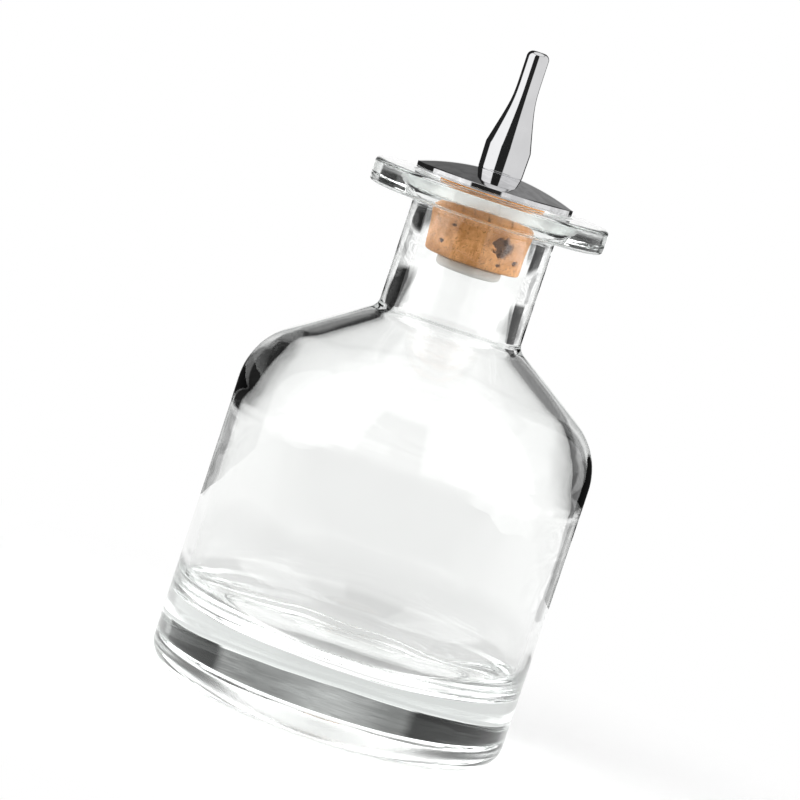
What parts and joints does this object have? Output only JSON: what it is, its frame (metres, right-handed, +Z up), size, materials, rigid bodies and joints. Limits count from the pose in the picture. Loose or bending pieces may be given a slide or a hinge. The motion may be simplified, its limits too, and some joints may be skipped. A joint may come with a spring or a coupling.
{
  "type": "dash bottle",
  "caption": "Clear glass dash bottle with a wide disc round its mouth and a lift-out stopper made of a cork sleeve, a domed metal cap and a slim metal spout.",
  "frame": {"origin": "middle of the underside, in the plane of the bearing ring that the bottle stands on", "axes": "+Z up along the bottle's axis, towards the spout; -Y is the side that the picture shows"},
  "size_m": [0.074, 0.074, 0.1397],
  "materials": {
    "clear_glass": "fire-polished clear glass with a faint green edge",
    "cork": "natural cork with dark lenticels, ground smooth",
    "cap_chrome": "bright polished plate",
    "spout_chrome": "bright polished plate on a turned part",
    "milky_plastic": "moulded translucent grey plastic"
  },
  "bodies": {
    "bottle": {"glass_bottle": "clear_glass"},
    "stopper": {"cork": "cork", "dome_cap": "cap_chrome", "dash_spout": "spout_chrome", "stem_tube": "milky_plastic"}
  },
  "joints": [
    {"name": "stopper_lift", "type": "slide", "parent": "bottle", "child": "stopper", "axis": [0, 0, 1], "range_m": [0, 0.035]}
  ]
}
